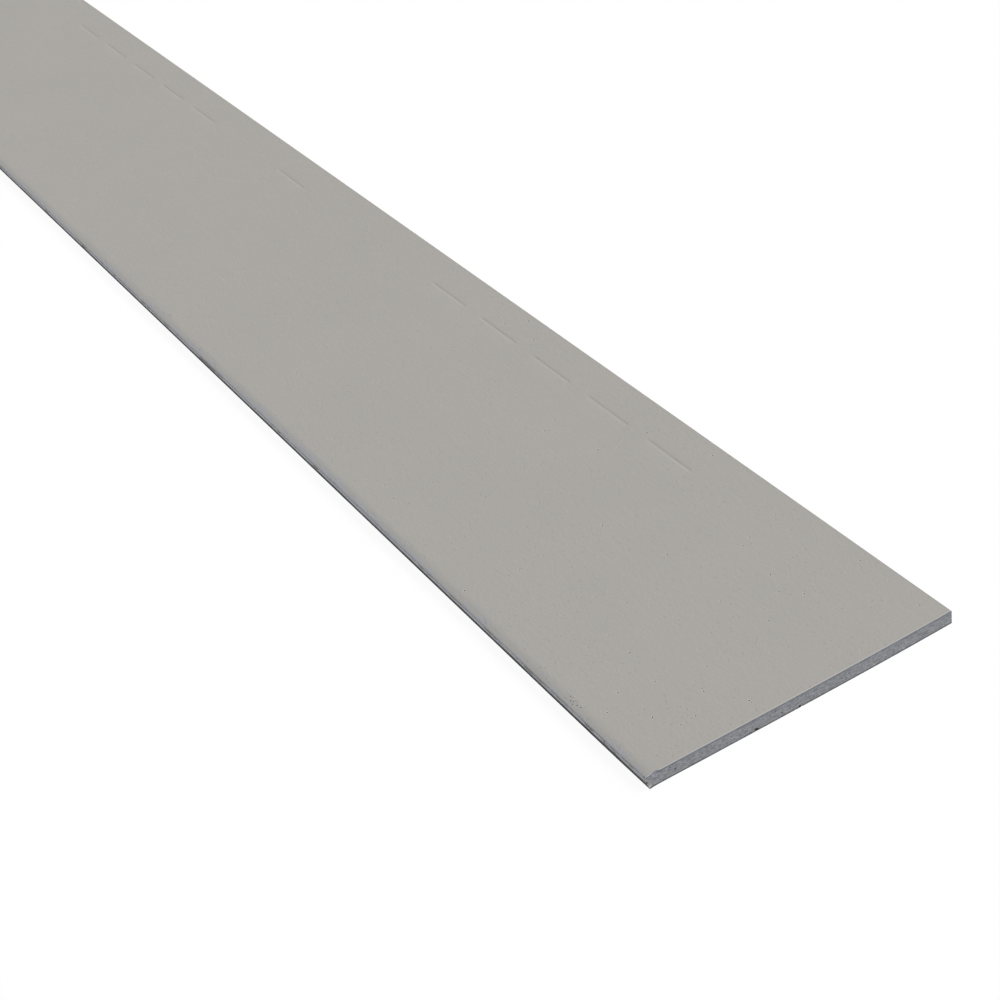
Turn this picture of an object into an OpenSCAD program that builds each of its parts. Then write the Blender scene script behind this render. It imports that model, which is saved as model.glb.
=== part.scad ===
// Fiber cement lap siding: one plank, lying on its back with its primed face up.
// X runs along the plank, Y from the drip edge up to the top edge, Z from the back to the face.
// The origin is the middle of the back.

/* [Plank] */
// Length of the plank, 12 feet
plank_length = 3657.6; // [600:0.1:4880]
// Width from the nose of the drip edge to the top edge, 7 1/4 inches
plank_width = 184.15; // [100:0.05:305]
// Thickness, 5/16 inch
plank_thickness = 7.94; // [6:0.01:15]

/* [Drip edge] */
// Radius of the nose, the outermost line of the drip edge
nose_radius = 1.3; // [0.6:0.05:1.6]
// Distance from the face down to the middle of the nose
nose_drop = 1.7; // [1.7:0.05:3]
// Radius of the wide shoulder that eases the face down to the nose
shoulder_radius = 30; // [10:0.5:60]
// Lean of the side under the nose, in degrees from upright
side_lean = 17; // [5:1:30]

/* [Top edge] */
// Chamfer where the face meets the top edge
face_arris = 0.5; // [0.2:0.05:1.5]
// Chamfer where the back meets the top edge
back_arris = 0.3; // [0.2:0.05:1.5]

/* [Nail line] */
// Distance from the top edge to the middle of the pressed line
line_inset = 25.5; // [12:0.1:50]
// Length of one dash where it meets the face
dash_length = 43.5; // [20:0.1:46]
// Width of a dash where it meets the face
dash_width = 3.6; // [1:0.1:5]
// Depth of a dash
dash_depth = 0.3; // [0.1:0.05:0.8]
// Distance from one dash of a run to the next
dash_pitch = 62.5; // [50:0.05:70]
// Dashes in a run
run_dashes = 5; // [1:1:7]
// Distance from the start of a run to the lone dash after it
lone_offset = 486.5; // [470:0.5:500]
// Distance at which the row repeats, one turn of the pressing roller
turn_length = 646; // [560:0.5:800]
// Distance from the cut end at +X to the first run
first_run = 184; // [0:0.1:550]

/* [Hidden] */
$fn = 96;

// Points along an arc, without its first point
function arc(center, radius, from, to, steps) = [
    for (i = [1 : steps])
        let (angle = from + (to - from) * i / steps)
            center + radius * [cos(angle), sin(angle)]
];

// In the section the nose's outermost point is at 0 across, and the back is at 0 up.
nose_center = [nose_radius, plank_thickness - nose_drop];
// The shoulder is tangent to the face, and the nose touches it from inside.
shoulder_reach = sqrt(pow(shoulder_radius - nose_radius, 2) - pow(shoulder_radius - nose_drop, 2));
shoulder_center = [nose_radius + shoulder_reach, plank_thickness - shoulder_radius];
shoulder_angle = atan2(nose_center.y - shoulder_center.y, nose_center.x - shoulder_center.x);
// The leaning side starts where it is tangent to the nose.
side_angle = 180 + side_lean;
side_top = nose_center + nose_radius * [cos(side_angle), sin(side_angle)];
side_foot = [side_top.x + side_top.y * tan(side_lean), 0];

// The round bottom of a dash has its axis above the face.
dash_radius = (pow(dash_width / 2, 2) + pow(dash_depth, 2)) / (2 * dash_depth);
dash_axis_z = plank_thickness + dash_radius - dash_depth;
dash_y = plank_width / 2 - line_inset;
turn_offsets = [
    for (i = [0 : run_dashes - 1]) i * dash_pitch,
    lone_offset
];
// How far each dash starts from the cut end at +X. The saw leaves only the whole dashes.
dash_starts = [
    for (turn = [0 : ceil(plank_length / turn_length)], offset = turn_offsets)
        let (start = first_run + turn * turn_length + offset)
            if (start > 0 && start + dash_length < plank_length)
                start
];

// The plank's cross section
module section() {
    polygon([
        side_foot,
        side_top,
        each arc(nose_center, nose_radius, side_angle, 180, 3),
        each arc(nose_center, nose_radius, 180, shoulder_angle, 8),
        each arc(shoulder_center, shoulder_radius, shoulder_angle, 90, 12),
        [plank_width - face_arris, plank_thickness],
        [plank_width, plank_thickness - face_arris],
        [plank_width, back_arris],
        [plank_width - back_arris, 0]
    ]);
}

// One pressed dash, along X with its middle at the origin
module dash() {
    reach = (dash_length - dash_width) / 2;
    rotate([0, 90, 0])
        cylinder(r = dash_radius, h = 2 * reach, center = true);
    for (side = [-1, 1])
        translate([side * reach, 0, 0])
            sphere(r = dash_radius);
}

module siding_plank() {
    color("#aaa8a3")
        difference() {
            translate([-plank_length / 2, -plank_width / 2, 0])
                rotate([90, 0, 90])
                    linear_extrude(height = plank_length)
                        section();
            for (start = dash_starts)
                translate([plank_length / 2 - start - dash_length / 2, dash_y, dash_axis_z])
                    dash();
        }
}

siding_plank();
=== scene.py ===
# Fiber cement lap siding: one plank on its back on a pale floor, its primed face up.
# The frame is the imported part's: X along the plank, Y from the drip edge up to the top edge, Z up.
import math

import bpy
import numpy as np
from mathutils import Euler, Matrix, Vector, geometry, noise


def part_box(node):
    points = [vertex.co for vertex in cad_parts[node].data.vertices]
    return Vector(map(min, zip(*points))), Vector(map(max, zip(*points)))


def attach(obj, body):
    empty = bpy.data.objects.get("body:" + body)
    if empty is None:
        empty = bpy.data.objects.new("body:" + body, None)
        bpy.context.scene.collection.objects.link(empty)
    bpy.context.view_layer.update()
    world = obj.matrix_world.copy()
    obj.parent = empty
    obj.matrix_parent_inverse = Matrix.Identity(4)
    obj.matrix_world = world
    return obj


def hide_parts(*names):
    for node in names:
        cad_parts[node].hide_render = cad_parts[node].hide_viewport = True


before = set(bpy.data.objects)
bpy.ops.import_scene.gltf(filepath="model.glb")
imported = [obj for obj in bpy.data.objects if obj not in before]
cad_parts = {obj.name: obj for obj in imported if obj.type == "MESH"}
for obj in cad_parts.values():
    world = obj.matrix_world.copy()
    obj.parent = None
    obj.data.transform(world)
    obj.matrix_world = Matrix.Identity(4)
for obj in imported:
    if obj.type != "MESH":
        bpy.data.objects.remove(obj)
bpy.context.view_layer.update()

# ---------------------------------------------------------------------------------------------
# The plank
# Fiber cement: thin plies of cement and wood fiber pressed into one board, then cut to width and
# length. The drip edge is rounded over on its face side, and a roller has pressed the dashed nail
# line into the face, close to the top edge. The grey primer was laid on the face from above.

# Lengths here are in millimetres: along from the cut end at +X, across from the nose of the drip
# edge, and height from the back.
MM = 0.001
plank_low, plank_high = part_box("siding_plank")
plank_length, plank_width, plank_thickness = (plank_high - plank_low) / MM

NOSE_RADIUS = 1.3
NOSE_DROP = 1.7
SHOULDER_RADIUS = 30.0
SIDE_LEAN = math.radians(17)
FACE_ARRIS = 0.5
BACK_ARRIS = 0.3

# The nail line. A dash slopes down a little further on the drip edge's side than on the other, and
# it fades out over the run-out at both ends.
LINE_INSET = 25.5
DASH_LENGTH = 43.5
DASH_WIDTH = 3.6
DASH_DEPTH = 0.34
DASH_RUN_OUT = 2.2
DRIP_SIDE_SHARE = 1.05
TOP_SIDE_SHARE = 0.9
DASH_PITCH = 62.5
RUN_DASHES = 5
LONE_OFFSET = 486.5
TURN_LENGTH = 646.0
FIRST_RUN = 184.0

# How finely the mesh follows the plank, round its section and then along it. The last EDGE_STRIP of
# the face is a strip of its own, so that the arris shades well.
SIDE_STEP = 0.8
FLAT_STEP = 12.0
EDGE_STRIP = 0.4
TOP_STEP = 2.5
STATION_STEP = 16.0


def arc(center, radius, start, end, steps):
    """Points along an arc, without its first point."""
    angles = np.linspace(start, end, steps + 1)[1:]
    return [(center[0] + radius * math.cos(a), center[1] + radius * math.sin(a)) for a in angles]


def split(points, step):
    """The same line, with no stretch longer than step."""
    line = [points[0]]
    for a, b in zip(points, points[1:]):
        parts = max(1, math.ceil(math.dist(a, b) / step))
        line += [tuple(np.add(a, np.subtract(b, a) * i / parts)) for i in range(1, parts + 1)]
    return line


# The section: up the leaning side, round the nose, over the shoulder, across the face and the
# nail line, down the top edge and back along the back.
nose_center = (NOSE_RADIUS, plank_thickness - NOSE_DROP)
shoulder_reach = math.sqrt((SHOULDER_RADIUS - NOSE_RADIUS) ** 2 - (SHOULDER_RADIUS - NOSE_DROP) ** 2)
shoulder_center = (NOSE_RADIUS + shoulder_reach, plank_thickness - SHOULDER_RADIUS)
shoulder_angle = math.atan2(nose_center[1] - shoulder_center[1], nose_center[0] - shoulder_center[0])
side_angle = math.pi + SIDE_LEAN
side_top = (
    nose_center[0] + NOSE_RADIUS * math.cos(side_angle),
    nose_center[1] + NOSE_RADIUS * math.sin(side_angle),
)
side_foot = (side_top[0] + side_top[1] * math.tan(SIDE_LEAN), 0.0)

# The nail line's valley has mesh lines of its own.
line_across = plank_width - LINE_INSET
valley = np.linspace(-1.1, 1.0, 13) * DASH_WIDTH / 2
face_end = plank_width - FACE_ARRIS
arris_center = (face_end, plank_thickness - FACE_ARRIS)

drip_side = split([side_foot, side_top], SIDE_STEP)
drip_nose = arc(nose_center, NOSE_RADIUS, side_angle, shoulder_angle, 12)
shoulder = arc(shoulder_center, SHOULDER_RADIUS, shoulder_angle, math.pi / 2, 8)
face = split([shoulder[-1], (line_across + valley[0], plank_thickness)], FLAT_STEP)[1:]
face += [(line_across + offset, plank_thickness) for offset in valley[1:]]
face += split([face[-1], (face_end - EDGE_STRIP, plank_thickness)], FLAT_STEP)[1:]
face += [(face_end, plank_thickness)]
top_edge = arc(arris_center, FACE_ARRIS, math.pi / 2, 0, 3)
top_edge += split([top_edge[-1], (plank_width, BACK_ARRIS)], TOP_STEP)[1:]
back = split([(plank_width - BACK_ARRIS, 0.0), side_foot], 4 * FLAT_STEP)[:-1]
outline = drip_side + drip_nose + shoulder + face + top_edge + back

dash_middles = [
    FIRST_RUN + turn * TURN_LENGTH + offset + DASH_LENGTH / 2
    for turn in range(math.ceil(plank_length / TURN_LENGTH))
    for offset in [i * DASH_PITCH for i in range(RUN_DASHES)] + [LONE_OFFSET]
    if FIRST_RUN + turn * TURN_LENGTH + offset + DASH_LENGTH < plank_length
]


def pressed(along, across):
    """How deep the nail line is there: each dash is a smooth valley."""
    middle = min(dash_middles, key=lambda m: abs(m - along))
    past = max(0.0, abs(along - middle) - (DASH_LENGTH / 2 - DASH_RUN_OUT)) / DASH_RUN_OUT
    half = DASH_WIDTH / 2 * (DRIP_SIDE_SHARE if across < line_across else TOP_SIDE_SHARE)
    share = math.hypot(past, (across - line_across) / half)
    return DASH_DEPTH * (1 - min(share, 1.0)) ** 1.2


# The mesh's stations along the plank, between its two sawn ends. They crowd where a dash fades out.
SAWN_ZONE = 8.0
dash_steps = np.array([-1, -0.96, -0.91, -0.86, -0.5, 0, 0.5, 0.86, 0.91, 0.96, 1]) * DASH_LENGTH / 2
marks = [SAWN_ZONE, plank_length - SAWN_ZONE] + [m + step for m in dash_middles for step in dash_steps]
stations = [p[0] for p in split([(m, 0.0) for m in sorted(marks)], STATION_STEP)]

# The drip edge is worn back at the near end: by how much at the corner, how far along the plank it
# fades, and how far it reaches across.
WEAR = 0.6
WEAR_LENGTH = 25.0
WEAR_REACH = 15.0

PRIMED, SAWN, BACK = 0, 1, 2
verts, holes, scars = [], [], []
faces, finishes = [], []


def add_point(along, across, height, hole=0.0, scar=0.0):
    """A vertex. hole is how deep in a pinhole or a void it lies, where it paints shade, or below 0 how
    much it is painted pale, and scar is how much of the coat is broken off there."""
    worn = WEAR * math.exp(-along / WEAR_LENGTH) * max(0.0, 1 - across / WEAR_REACH)
    verts.append((plank_high.x - along * MM, plank_low.y + (across + worn) * MM, height * MM))
    holes.append(hole)
    scars.append(scar)
    return len(verts) - 1


def add_face(corners, finish):
    faces.append(corners)
    finishes.append(finish)


# A pinhole's three rings: a flat apron, a rim with a painted highlight and a floor with painted
# shade. Each has its share of the radius, how many radii it lies under the face, and its value
# of hole.
APRON = 2.1
PINHOLE_RINGS = ((APRON, 0.0, 0.0), (1.0, 0.1, -0.7), (0.85, 1.0, 1.0))


def add_pinhole(corners, along, across, radius):
    """An air bubble that broke at the face, in the flat cell between four corners."""
    around = [math.radians(a) for a in range(225, -135, -60)]
    apron, rim, floor = (
        [
            add_point(
                along + radius * share * math.cos(a),
                across + radius * share * math.sin(a),
                plank_thickness - radius * drop,
                hole,
            )
            for a in around
        ]
        for share, drop, hole in PINHOLE_RINGS
    )
    # The apron's six points, shared out over the four sides of the cell.
    spans = ((0, 1, 2), (2, 3), (3, 4, 5), (5, 0))
    for i, span in enumerate(spans):
        add_face([corners[i], corners[(i + 1) % 4]] + [apron[s] for s in reversed(span)], PRIMED)
    for i in range(6):
        for outer, inner in ((apron, rim), (rim, floor)):
            add_face([outer[i], outer[(i + 1) % 6], inner[(i + 1) % 6], inner[i]], PRIMED)
    add_face(floor, PRIMED)


# The skin between the sawn ends. Pinholes are scattered over its larger flat cells, one for each
# PINHOLE_AREA of square millimetres, and keep clear of the cell's sides.
PINHOLE_AREA = 330.0
PINHOLE_CELL = 4.0
PINHOLE_CLEAR = 0.2
PINHOLE_LEAST = 0.22
PINHOLE_SPREAD = 0.3
rng = np.random.default_rng(51)
first_face = len(drip_side) + len(drip_nose) + len(shoulder) - 1


def skin_ring(along):
    """The outline's vertices at one station, with the nail line pressed into the face."""
    ring = []
    for across, height in outline:
        on_face = height > plank_thickness - 0.01
        ring.append(add_point(along, across, height - (pressed(along, across) if on_face else 0.0)))
    return ring


rings = [skin_ring(along) for along in stations]
for near, far, start, end in zip(rings, rings[1:], stations, stations[1:]):
    for j, (low, high) in enumerate(zip(outline, outline[1:] + outline[:1])):
        following = (j + 1) % len(outline)
        corners = [near[j], near[following], far[following], far[j]]
        finish = BACK if low[1] < BACK_ARRIS and j > first_face else PRIMED
        wide = min(high[0] - low[0], end - start) > PINHOLE_CELL
        flat = first_face <= j < first_face + len(face)
        if flat and wide and rng.random() < (high[0] - low[0]) * (end - start) / PINHOLE_AREA:
            radius = PINHOLE_LEAST + PINHOLE_SPREAD * rng.random() ** 2
            clear = APRON * radius + PINHOLE_CLEAR
            along = rng.uniform(start + clear, end - clear)
            across = rng.uniform(low[0] + clear, high[0] - clear)
            add_pinhole(corners, along, across, radius)
        else:
            add_face(corners, finish)


# The sawn ends are meshed finely, in rings at these depths behind the cut.
SAWN_STEP = 0.45
SAWN_RINGS = (4.0, 2.0, 1.0, 0.4, 0.0)
fine_outline = split(outline + [outline[0]], SAWN_STEP)[:-1]

# The saw wandered: the cut stands out furthest at the crest, and lies back by the bow at its ends.
# At the foot of the drip edge it left a burr, which fades out across the cut and up it.
CUT_CREST = 116.0
CUT_BOW = 0.7
BURR = 1.1
BURR_ACROSS = 2.5
BURR_HEIGHT = 6.0

# The rim of the cut is paler. SCAR_FULL is how deep a chip takes all of the coat off, and an open
# pore in the sawn face is up to VOID_DEPTH deep.
RIM_PALE = 0.45
SCAR_FULL = 0.12
VOID_DEPTH = 1.2


def stitch(one, one_line, two, two_line):
    """Triangles between two closed rings that have different numbers of points, each with the
    point of the section that it starts from."""
    one_share, two_share = (
        np.cumsum([0.0] + [math.dist(a, b) for a, b in zip(line, line[1:] + line[:1])])
        for line in (one_line, two_line)
    )
    i = j = 0
    while i < len(one) or j < len(two):
        a, b = one[i % len(one)], two[j % len(two)]
        if j == len(two) or (i < len(one) and one_share[i + 1] <= two_share[j + 1] + 0.001):
            low = one_line[i]
            i += 1
            corners = [a, one[i % len(one)], b]
        else:
            low = two_line[j]
            j += 1
            corners = [a, two[j % len(two)], b]
        yield corners, low


def sawn_relief(across, height):
    """How far the sawn face lies behind the cut: slanting tooth marks, torn plies and grit."""
    climb = height - 0.28 * across
    teeth = noise.noise(Vector((across * 0.05, climb * 1.7, 3.0)))
    plies = noise.noise(Vector((across * 0.12, height * 1.1, 9.0)))
    grit = noise.noise(Vector((across * 1.3, height * 1.6, 5.0)))
    return 0.1 + 0.025 * teeth + 0.015 * plies + 0.03 * grit


def inside(across, height):
    """Whether a point of the sawn face keeps clear of the outline."""
    clear = 0.3 * SAWN_STEP
    shoulder_end = NOSE_RADIUS + 6
    if not clear < height < plank_thickness - clear or across > face_end:
        return False
    if height < side_top[1]:
        return across > side_foot[0] - height * math.tan(SIDE_LEAN) + clear
    if across < NOSE_RADIUS:
        return math.dist((across, height), nose_center) < NOSE_RADIUS - clear
    if across > shoulder_end:
        return True
    return math.dist((across, height), shoulder_center) < SHOULDER_RADIUS - clear


def sawn_end(start, inward, joined, chips, voids):
    """The last millimetres of the plank and its sawn face. inward is 1 at +X and -1 at the other end.
    A chip is a bite with a ball, or an egg, out of the arrises: its middle, its radius and how much
    it is squeezed along, across and up. A void is an open pore in the sawn face: its place across
    and up, and its radius."""
    def place(depth, across, height, hole=0.0):
        reach = CUT_CREST if across < CUT_CREST else plank_width - CUT_CREST
        bow = CUT_BOW * ((across - CUT_CREST) / reach) ** 2
        bow -= BURR * math.exp(-across / BURR_ACROSS) * max(0.0, 1 - height / BURR_HEIGHT)
        whole = np.array([depth + bow * (1 - depth / SAWN_RINGS[0]), across, height])
        point = whole
        for middle, radius, squeeze in chips:
            if abs(middle[1] - across) < radius:
                away = (point - middle) * squeeze
                point = middle + away / squeeze * max(1.0, radius / np.linalg.norm(away))
        scar = min(1.0, math.dist(point, whole) / SCAR_FULL)
        point = np.clip(point, 0.0, (SAWN_ZONE, plank_width, plank_thickness))
        # A chip takes the paler rim with it.
        if hole < 0:
            hole *= 1 - scar
        return add_point(start + inward * point[0], point[1], point[2], hole, scar)

    def close(corners, finish):
        add_face(corners if inward > 0 else corners[::-1], finish)

    def finish_of(point):
        return BACK if point[1] < BACK_ARRIS and point[0] > side_foot[0] else PRIMED

    ring = [place(SAWN_RINGS[0], *point) for point in fine_outline]
    for corners, low in stitch(ring, fine_outline, joined, outline):
        close(corners, finish_of(low))
    for depth in SAWN_RINGS[1:]:
        rim_paling = -RIM_PALE * max(0.0, 1 - depth)
        previous, ring = ring, [place(depth, *point, rim_paling) for point in fine_outline]
        for j, point in enumerate(fine_outline):
            following = (j + 1) % len(fine_outline)
            close([ring[j], ring[following], previous[following], previous[j]], finish_of(point))

    rows, columns = round(plank_thickness / SAWN_STEP), round(plank_width / SAWN_STEP)
    grid = [
        (plank_width * (c + 0.5 * (r % 2)) / columns, plank_thickness * r / rows)
        for r in range(1, rows)
        for c in range(1, columns)
    ]
    flat = [Vector(point) for point in fine_outline + [point for point in grid if inside(*point)]]
    spots, _, triangles, sources, _, _ = geometry.delaunay_2d_cdt(flat, [], [range(len(ring))], 1, 1e-5)
    corner_of = []
    for spot, source in zip(spots, sources):
        if source[0] < len(ring):
            corner_of.append(ring[source[0]])
            continue
        hole = 0.0
        for across, height, radius in voids:
            hole = max(hole, 1 - (math.dist(spot, (across, height)) / radius) ** 2)
        depth = sawn_relief(*spot) + VOID_DEPTH * hole
        corner_of.append(place(depth, spot.x, spot.y, min(1.0, 2 * hole)))
    for a, b, c in triangles:
        turn = (spots[b] - spots[a]).cross(spots[c] - spots[a])
        close([corner_of[i] for i in ((a, b, c) if turn > 0 else (a, c, b))], SAWN)


def chip(across, height, radius):
    """A chip on the sawn end's upper or lower arris, by a ball that stands off both faces."""
    off = 0.5 * radius
    return np.array([-off, across, height + (off if height > 0 else -off)]), radius, 1.0


def anywhere_across():
    """A place across the sawn face, clear of the nose and of the top edge."""
    return rng.uniform(3.0, plank_width - 1.0)


def scattered_chips(count, height, small, large):
    """Chips on one arris. Most of them are small."""
    return [
        chip(anywhere_across(), height, small + (large - small) * rng.random() ** 4) for _ in range(count)
    ]


def scattered_voids(count):
    return [
        (anywhere_across(), rng.uniform(0.8, plank_thickness - 1.2), rng.uniform(0.2, 0.4))
        for _ in range(count)
    ]


# The near end's larger damage: a chip on the back's arris, a flake off the face beside the nose, a
# deep void near the back and two smaller ones.
near_chips = scattered_chips(30, plank_thickness, 0.15, 0.6) + scattered_chips(24, 0.0, 0.15, 0.5)
near_chips += [
    chip(90.5, 0.0, 0.9),
    (np.array([-4.2, 6.3, plank_thickness + 0.5]), 5.5, np.array([1.0, 1.0, 0.7])),
]
near_voids = scattered_voids(3)
near_voids += [(63.4, 0.9, 0.75), (64.3, 0.7, 0.6), (89.5, 0.5, 0.6), (17.3, 3.4, 0.4)]
sawn_end(0.0, 1, rings[0], near_chips, near_voids)
far_chips = scattered_chips(30, plank_thickness, 0.15, 0.7) + scattered_chips(24, 0.0, 0.15, 0.7)
sawn_end(plank_length, -1, rings[-1], far_chips, scattered_voids(14))

plank_mesh = bpy.data.meshes.new("primed_plank")
plank_mesh.from_pydata(verts, [], faces)
plank_mesh.polygons.foreach_set("material_index", finishes)
for name, values in (("hole", holes), ("scar", scars)):
    plank_mesh.attributes.new(name, "FLOAT", "POINT").data.foreach_set("value", values)
plank_mesh.shade_smooth()
plank_mesh.set_sharp_from_angle(angle=math.radians(40))
plank = bpy.data.objects.new("primed_plank", plank_mesh)
bpy.context.scene.collection.objects.link(plank)

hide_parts("siding_plank")
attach(plank, "root")


def paint(red, green, blue):
    """A colour given in sRGB steps of 0 to 255, as Blender's own linear colour."""
    return tuple(((c / 255 + 0.055) / 1.055) ** 2.4 for c in (red, green, blue)) + (1.0,)


PRIMER = paint(171, 168, 163)
PRIMER_WORN_AND_SHADE = paint(157, 156, 153)
PRIMER_FRINGE = paint(163, 164, 168)
PRIMER_PALE_AND_GLINT = paint(192, 191, 190)
HOLE_SHADE = paint(70, 67, 63)
CEMENT = paint(190, 192, 196)
CEMENT_DENSE = paint(142, 149, 161)
CEMENT_DARK = paint(134, 136, 141)
CEMENT_STREAK_AND_SHADE = paint(24, 25, 28)
CEMENT_PAINTED_LIGHT = paint(240, 243, 249)
FLECK = paint(222, 221, 218)
PORE = paint(92, 94, 99)
RUST_DOT = paint(108, 92, 86)
RUST = paint(96, 62, 56)


class Nodes:
    """Short calls for building one node tree."""

    def __init__(self, tree):
        self.tree = tree

    def add(self, kind, inputs=None, **settings):
        node = self.tree.nodes.new(kind)
        for key, value in settings.items():
            setattr(node, key, value)
        for key, value in (inputs or {}).items():
            self.feed(node.inputs[key], value)
        return node

    def feed(self, socket, value):
        if isinstance(value, bpy.types.NodeSocket):
            self.tree.links.new(value, socket)
        else:
            socket.default_value = value

    def math(self, operation, a, b=0.0):
        return self.add("ShaderNodeMath", {0: a, 1: b}, operation=operation).outputs[0]

    def total(self, *terms):
        result = terms[0]
        for term in terms[1:]:
            result = self.math("ADD", result, term)
        return result

    def times(self, a, b):
        return self.math("MULTIPLY", a, b)

    def stretch(self, vector, scale, turn=(0.0, 0.0, 0.0)):
        settings = {"Vector": vector, "Scale": scale, "Rotation": turn}
        return self.add("ShaderNodeMapping", settings).outputs[0]

    def noise(self, vector, scale, detail=2.0, roughness=0.5):
        settings = {"Vector": vector, "Scale": scale, "Detail": detail, "Roughness": roughness}
        return self.add("ShaderNodeTexNoise", settings).outputs["Fac"]

    def ramp(self, value, low, high, to_low=0.0, to_high=1.0):
        settings = dict(enumerate((value, low, high, to_low, to_high)))
        return self.add("ShaderNodeMapRange", settings, interpolation_type="SMOOTHSTEP").outputs[0]

    def dots(self, vector, scale, radius, share, flat=False):
        """Round dots of that radius in cells of a Voronoi pattern, in that share of the surface."""
        kind = "2D" if flat else "3D"
        settings = {"Vector": vector, "Scale": scale}
        cells = self.add("ShaderNodeTexVoronoi", settings, voronoi_dimensions=kind)
        dot = self.ramp(cells.outputs["Distance"], radius * scale, 0.5 * radius * scale)
        return self.times(dot, self.ramp(self.noise(vector, 0.35 * scale, 0.0), 1 - share, 1.03 - share))

    def mix(self, share, a, b):
        return self.add("ShaderNodeMix", {0: share, 6: a, 7: b}, data_type="RGBA").outputs[2]


def node_group(name, inputs, outputs):
    """A shader node group with named sockets: the group, its node calls, its input and its output."""
    group = bpy.data.node_groups.new(name, "ShaderNodeTree")
    for socket, kind in inputs:
        group.interface.new_socket(name=socket, in_out="INPUT", socket_type=kind)
    for socket, kind in outputs:
        group.interface.new_socket(name=socket, in_out="OUTPUT", socket_type=kind)
    take = group.nodes.new("NodeGroupInput").outputs
    give = group.nodes.new("NodeGroupOutput").inputs
    return group, Nodes(group), take, give


# Two marks beside the near drip corner, a rust fleck under the nose and a pale knock by its foot:
# the place, how far each reaches, how strong it is, and its colour.
CORNER_MARKS = (
    ((plank_high.x - 0.4 * MM, plank_low.y + 1.0 * MM, 4.3 * MM), 1.2 * MM, 1.0, RUST),
    ((plank_high.x, plank_low.y + 3.0 * MM, 1.6 * MM), 1.3 * MM, 0.55, FLECK),
)

# Bare fiber cement: fibers drawn out along the Grain, grit, pores, and pale flecks towards the back.
bare_cement, n, take, give = node_group(
    "bare_cement",
    [("Place", "NodeSocketVector"), ("Grain", "NodeSocketVector"), ("Turn", "NodeSocketVector")],
    [("Color", "NodeSocketColor"), ("Height", "NodeSocketFloat")],
)
drawn = n.stretch(take["Place"], take["Grain"], take["Turn"])
fibers = n.noise(drawn, 760.0, 3.0, 0.6)
strands = n.noise(drawn, 1600.0, 2.0, 0.6)
grit = n.noise(take["Place"], 900.0, 2.0, 0.7)
up = n.add("ShaderNodeSeparateXYZ", {"Vector": take["Place"]}).outputs["Z"]
near_back = n.ramp(up, 3.5 * MM, 1.0 * MM, 0.25, 1.0)
fleck = n.times(n.dots(n.stretch(take["Place"], (1.0, 0.6, 1.0)), 420.0, 0.4 * MM, 0.55), near_back)
pore = n.dots(take["Place"], 420.0, 0.4 * MM, 0.5)
tone = n.total(
    n.ramp(fibers, 0.35, 0.65, 0.0, 0.12),
    n.ramp(strands, 0.35, 0.65, 0.0, 0.44),
    n.ramp(grit, 0.35, 0.65, 0.0, 0.44),
)
color = n.mix(tone, CEMENT_DARK, CEMENT)
color = n.mix(fleck, color, FLECK)
color = n.mix(n.times(pore, 0.5), color, PORE)
for spot, reach, share, shade in CORNER_MARKS:
    away = n.add("ShaderNodeVectorMath", {0: take["Place"], 1: spot}, operation="DISTANCE")
    color = n.mix(n.ramp(away.outputs["Value"], reach, 0.4 * reach, 0.0, share), color, shade)
n.feed(give["Color"], color)
n.feed(give["Height"], n.total(n.times(fibers, 0.6), n.times(grit, 0.4), n.times(pore, -0.8)))


def new_material(name, roughness, specular):
    """An empty material: it, its node calls, its Principled shader and the place on the plank."""
    material = bpy.data.materials.new(name)
    material.use_nodes = True
    material.node_tree.nodes.clear()
    nodes = Nodes(material.node_tree)
    shader = nodes.add("ShaderNodeBsdfPrincipled", {"Roughness": roughness, "Specular IOR Level": specular})
    nodes.add("ShaderNodeOutputMaterial", {"Surface": shader.outputs[0]})
    return material, nodes, shader.inputs, nodes.add("ShaderNodeTexCoord").outputs["Object"]


def attribute(nodes, name):
    return nodes.add("ShaderNodeAttribute", attribute_name=name).outputs["Fac"]


# The primed face. Its colour darkens towards the nose, a painted shade of the shoulder, and the coat
# ends round the nose in a ragged line, where the height and LINE_LEAN of the way across add up to
# COAT_EDGE.
COAT_EDGE = 7.7 * MM
COAT_RAGGED = 9.0 * MM
LINE_LEAN = 0.3
primed_face, n, give, place = new_material("primed_face", 0.8, 0.08)
axes = n.add("ShaderNodeSeparateXYZ", {"Vector": place}).outputs
bare = n.add(
    "ShaderNodeGroup", {"Place": place, "Grain": (0.16, 1.0, 1.0)}, node_tree=bare_cement
).outputs
frayed = n.noise(n.stretch(place, (0.25, 1.0, 1.0)), 420.0, 4.0, 0.7)
wander = n.noise(n.stretch(place, (0.1, 1.0, 1.0)), 160.0, 2.0)
strands = n.noise(n.stretch(place, (0.04, 1.0, 1.0)), 800.0, 3.0, 0.6)
coat_edge = n.total(
    n.times(n.math("SUBTRACT", frayed, 0.5), COAT_RAGGED),
    n.times(n.math("SUBTRACT", wander, 0.5), 0.5 * COAT_RAGGED),
    COAT_EDGE,
)
from_nose = n.math("ADD", axes["Y"], plank_width / 2 * MM)
below = n.math("SUBTRACT", coat_edge, n.total(n.times(from_nose, LINE_LEAN), axes["Z"]))
bared = n.math("MAXIMUM", n.ramp(below, -0.1 * MM, 0.1 * MM, 0.0, 0.9), attribute(n, "scar"))
bared = n.math("MAXIMUM", bared, n.ramp(below, -0.1 * MM, 1.0 * MM))
fringe = n.ramp(below, -1.3 * MM, -0.2 * MM)
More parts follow.
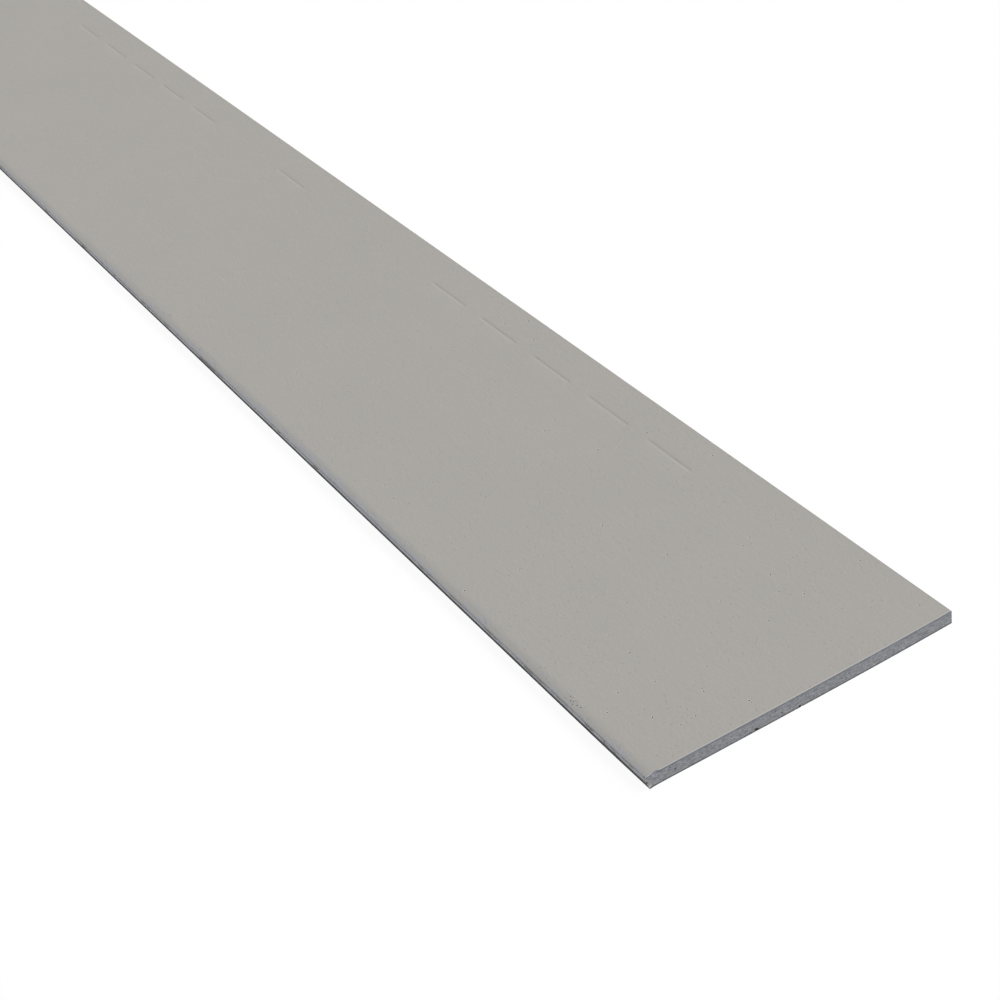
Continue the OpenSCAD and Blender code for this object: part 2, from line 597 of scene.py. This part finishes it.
# Painted shade of the shoulder: the primer darkens within 8 mm of the nose.
shoulder_shade = n.times(n.ramp(from_nose, 8.0 * MM, 0.5 * MM), n.ramp(wander, 0.35, 0.65, 0.55, 1.0))
grain = n.noise(n.stretch(place, (0.5, 1.0, 1.0)), 260.0, 2.0, 0.6)
nap = n.noise(n.stretch(place, (0.65, 1.0, 1.0)), 640.0, 2.0, 0.7)
streaks = n.noise(n.stretch(place, (0.05, 1.0, 1.0)), 300.0, 3.0)
clouds = n.noise(place, 14.0, 2.0)
top_arris = n.ramp(from_nose, (plank_width - 0.9) * MM, (plank_width - 0.2) * MM)
on_face = n.times(
    n.ramp(axes["Z"], 6.0 * MM, 6.6 * MM),
    n.ramp(from_nose, (plank_width - 0.3) * MM, (plank_width - 0.6) * MM),
)
speck = n.times(n.dots(place, 130.0, 0.26 * MM, 0.5, flat=True), on_face)
turned = n.stretch(place, (1.0, 1.0, 1.0), (0.0, 0.0, 0.7))
# Painted glints: pale dots on the face, with no relief of their own.
glint_dot = n.times(n.dots(turned, 170.0, 0.4 * MM, 0.5, flat=True), on_face)
worn = n.total(n.ramp(clouds, 0.3, 0.7, 0.0, 0.08), n.ramp(streaks, 0.35, 0.7, 0.0, 0.03))
coat = n.mix(worn, PRIMER, PRIMER_WORN_AND_SHADE)
coat = n.mix(n.times(shoulder_shade, 0.85), coat, PRIMER_WORN_AND_SHADE)
coat = n.mix(n.times(fringe, 0.8), coat, PRIMER_FRINGE)
coat = n.mix(n.times(top_arris, 0.7), coat, CEMENT_DARK)
coat = n.mix(n.times(glint_dot, 0.42), coat, PRIMER_PALE_AND_GLINT)
coat = n.mix(n.times(speck, 0.5), coat, HOLE_SHADE)

# A cluster of rusty pinholes on the shoulder, 60 to 75 mm from the near end.
CLUSTER_MIDDLE = (plank_high.x - 67.0 * MM, plank_low.y + 3.9 * MM, 0.0)
CLUSTER_REACH = (7.5 * MM, 1.6 * MM, 1.0)
shifted = n.add("ShaderNodeVectorMath", {0: place, 1: CLUSTER_MIDDLE}, operation="SUBTRACT").outputs[0]
scaled = n.add("ShaderNodeVectorMath", {0: shifted, 1: CLUSTER_REACH}, operation="DIVIDE").outputs[0]
off_middle = n.add("ShaderNodeVectorMath", {0: scaled}, operation="LENGTH").outputs["Value"]
cluster = n.times(n.dots(place, 520.0, 0.42 * MM, 0.62, flat=True), n.ramp(off_middle, 1.1, 0.9))
coat = n.mix(n.times(cluster, 0.95), coat, RUST_DOT)

# The bare side under the coat. From the top down it has the tone of the primer's fringe, then a
# painted light that lifts the shaded underside of the nose, then dark streaks along the plank, and
# at the foot a ragged band of painted shade where it meets the floor.
FOOT_SHADE_RAGGED = 2.5 * MM
pale = n.mix(n.ramp(axes["Z"], 4.6 * MM, 6.6 * MM), bare["Color"], CEMENT_PAINTED_LIGHT)
pale = n.mix(n.ramp(axes["Z"], 6.7 * MM, 7.4 * MM), pale, PRIMER_FRINGE)
clean = n.math("MAXIMUM", n.ramp(strands, 0.38, 0.58), n.ramp(axes["Z"], 5.5 * MM, 6.3 * MM, 0.0, 0.92))
streaked = n.mix(clean, n.mix(0.45, bare["Color"], CEMENT_STREAK_AND_SHADE), pale)
# Painted shade: a ragged near-black band at the foot, where the side meets the floor.
shade_wander = n.times(n.math("SUBTRACT", n.math("ADD", frayed, wander), 1.0), FOOT_SHADE_RAGGED)
drip_foot_shade = n.ramp(n.math("ADD", axes["Z"], shade_wander), 5.0 * MM, 1.3 * MM)
side = n.mix(n.times(drip_foot_shade, n.ramp(strands, 0.35, 0.65, 0.98, 0.82)), streaked, CEMENT_STREAK_AND_SHADE)
color = n.mix(bared, coat, side)
# hole paints shade in pinholes and voids; below 0 it paints pale rims, on the pinholes a painted highlight.
hole = attribute(n, "hole")
color = n.mix(n.math("MINIMUM", n.times(hole, -2.0), 1.0), color, PRIMER_PALE_AND_GLINT)
color = n.mix(n.times(hole, 0.9), color, HOLE_SHADE)
n.feed(give["Base Color"], color)
height = n.total(
    n.times(grain, 0.11 * MM),
    n.times(nap, 0.17 * MM),
    n.times(streaks, 0.01 * MM),
    n.times(speck, -0.2 * MM),
    n.times(cluster, -0.2 * MM),
    n.times(bared, -0.15 * MM),
    n.times(n.times(strands, bared), 0.4 * MM),
)
n.feed(give["Normal"], n.add("ShaderNodeBump", {"Height": height, "Distance": 1.0}).outputs[0])

# The sawn ends: bare fiber cement, denser and bluer in the outermost ply, with painted shade along its
# foot.
sawn_cement, n, give, place = new_material("sawn_cement", 0.9, 0.08)
axes = n.add("ShaderNodeSeparateXYZ", {"Vector": place}).outputs
bare = n.add(
    "ShaderNodeGroup",
    {"Place": place, "Grain": (1.0, 0.2, 1.0), "Turn": (math.radians(-16), 0.0, 0.0)},
    node_tree=bare_cement,
).outputs
outer_ply = n.ramp(axes["Z"], (plank_thickness - 1.4) * MM, (plank_thickness - 0.7) * MM)
color = n.mix(n.times(outer_ply, 0.8), bare["Color"], CEMENT_DENSE)
# Painted shade along the foot, where the sawn end meets the floor.
foot = n.ramp(axes["Z"], 1.1 * MM, 0.1 * MM)
color = n.mix(n.times(foot, 0.75), color, CEMENT_STREAK_AND_SHADE)
color = n.mix(n.times(attribute(n, "hole"), 0.7), color, HOLE_SHADE)
n.feed(give["Base Color"], color)
n.feed(
    give["Normal"],
    n.add("ShaderNodeBump", {"Height": n.times(bare["Height"], 0.3 * MM), "Distance": 1.0}).outputs[0],
)

# The back: bare, with its fibers drawn out along the plank and the print of the felt it was made on.
bare_back, n, give, place = new_material("bare_back", 0.9, 0.08)
bare = n.add(
    "ShaderNodeGroup", {"Place": place, "Grain": (0.25, 1.0, 1.0)}, node_tree=bare_cement
).outputs
felt = n.noise(n.stretch(place, (0.7, 1.0, 1.0)), 240.0, 3.0, 0.65)
clouds = n.noise(place, 18.0, 3.0)
color = n.mix(n.ramp(clouds, 0.3, 0.7, 0.25, 0.65), bare["Color"], CEMENT_DARK)
color = n.mix(n.ramp(felt, 0.6, 0.3, 0.0, 0.3), color, CEMENT_DENSE)
n.feed(give["Base Color"], color)
height = n.total(n.times(bare["Height"], 0.1 * MM), n.times(felt, 0.25 * MM))
n.feed(give["Normal"], n.add("ShaderNodeBump", {"Height": height, "Distance": 1.0}).outputs[0])

for material in (primed_face, sawn_cement, bare_back):
    plank_mesh.materials.append(material)

# ---------------------------------------------------------------------------------------------
# The floor
# A plain white floor. The camera sees it as white with a faint soft shadow beside the plank, and
# the light that it throws back up on the plank is that of pale grey paper.

FLOOR_HALF = 20.0
FLOOR_DROP = 0.02 * MM
FLOOR_BOUNCE = (0.55, 0.55, 0.55, 1.0)
SHADOW_SHARE = 0.06
floor_mesh = bpy.data.meshes.new("floor")
floor_corners = [
    (x * FLOOR_HALF, y * FLOOR_HALF, -FLOOR_DROP) for x, y in ((-1, -1), (1, -1), (1, 1), (-1, 1))
]
floor_mesh.from_pydata(floor_corners, [], [(0, 1, 2, 3)])
floor = bpy.data.objects.new("floor", floor_mesh)
bpy.context.scene.collection.objects.link(floor)


def seen(nodes):
    """1 for what the camera sees itself or in a gloss, 0 for light that falls on the plank."""
    rays = nodes.add("ShaderNodeLightPath").outputs
    return nodes.math("MAXIMUM", rays["Is Camera Ray"], rays["Is Glossy Ray"])


white_floor = bpy.data.materials.new("white_floor")
white_floor.use_nodes = True
white_floor.node_tree.nodes.clear()
n = Nodes(white_floor.node_tree)
bounce = n.add("ShaderNodeBsdfDiffuse", {"Color": FLOOR_BOUNCE})
shaded = n.add("ShaderNodeBsdfDiffuse", {"Color": (1.0, 1.0, 1.0, 1.0)})
glow = n.add("ShaderNodeEmission", {"Strength": 1.0})
shown = n.add("ShaderNodeMixShader", {0: SHADOW_SHARE, 1: glow.outputs[0], 2: shaded.outputs[0]})
either = n.add("ShaderNodeMixShader", {0: seen(n), 1: bounce.outputs[0], 2: shown.outputs[0]})
n.add("ShaderNodeOutputMaterial", {"Surface": either.outputs[0]})
floor_mesh.materials.append(white_floor)

# ---------------------------------------------------------------------------------------------
# The light and the camera
# A white studio: even light from all round, and a wide soft lamp high up on the top edge's side.
# The camera looks down along the plank from beyond its near end.

SKY = 0.3
LIGHT_LEVEL = 0.98
world = bpy.data.worlds.new("studio")
bpy.context.scene.world = world
world.use_nodes = True
world.node_tree.nodes.clear()
n = Nodes(world.node_tree)
backdrop = n.add("ShaderNodeBackground", {"Strength": n.ramp(seen(n), 0.0, 1.0, SKY * LIGHT_LEVEL, 1.0)})
n.add("ShaderNodeOutputWorld", {"Surface": backdrop.outputs[0]})
backdrop.inputs["Color"].default_value = (1.0, 1.0, 1.0, 1.0)

to_lamp = Vector((0.22, 0.55, 0.8)).normalized()
lamp = bpy.data.lights.new("soft_lamp", "SUN")
lamp.energy = LIGHT_LEVEL * (1 - SKY) * math.pi / to_lamp.z
lamp.angle = math.radians(35)
soft_lamp = bpy.data.objects.new("soft_lamp", lamp)
soft_lamp.rotation_euler = to_lamp.to_track_quat("Z", "Y").to_euler()
bpy.context.scene.collection.objects.link(soft_lamp)

view = bpy.data.cameras.new("camera")
view.sensor_width = 36.0
view.lens = 72.83
view.clip_start = 0.01
camera = bpy.data.objects.new("camera", view)
bpy.context.scene.collection.objects.link(camera)
bpy.context.scene.camera = camera
camera.location = (plank_high.x + 0.5960, -0.4234, 0.6536)
aim = Vector((plank_high.x - 0.2348, -0.0280, plank_high.z))
roll = Euler((0.0, 0.0, math.radians(-9.95))).to_matrix()
camera.rotation_euler = ((aim - camera.location).to_track_quat("-Z", "Y").to_matrix() @ roll).to_euler()

bpy.context.scene.view_settings.view_transform = "Standard"
